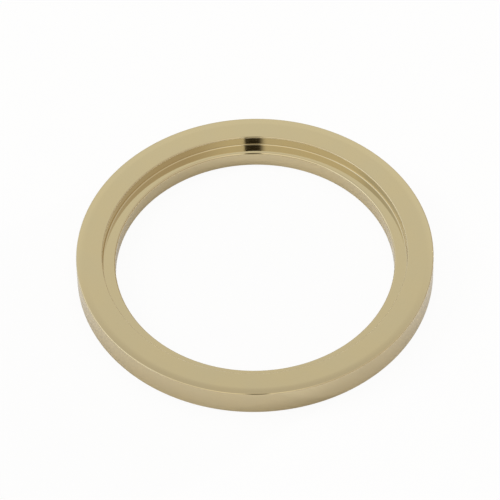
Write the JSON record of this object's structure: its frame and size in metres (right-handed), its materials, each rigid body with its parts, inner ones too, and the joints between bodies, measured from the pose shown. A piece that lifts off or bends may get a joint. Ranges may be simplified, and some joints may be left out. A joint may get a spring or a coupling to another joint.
{
  "type": "shower escutcheon",
  "caption": "Flat round trim ring with a shallow stepped recess and a wide through bore, for covering the wall opening around a shower fitting.",
  "frame": {"origin": "centre of the bore, on the flat back face that lies against the wall", "axes": "+Z along the bore's axis, from the back face out of the recessed front face; the ring is round, so X and Y are free"},
  "size_m": [0.124, 0.124, 0.01],
  "materials": {
    "polished_gold": "polished pale champagne gold over brass, mirror bright with faint buffing haze"
  },
  "bodies": {
    "root": {"escutcheon_ring": "polished_gold"}
  },
  "joints": []
}
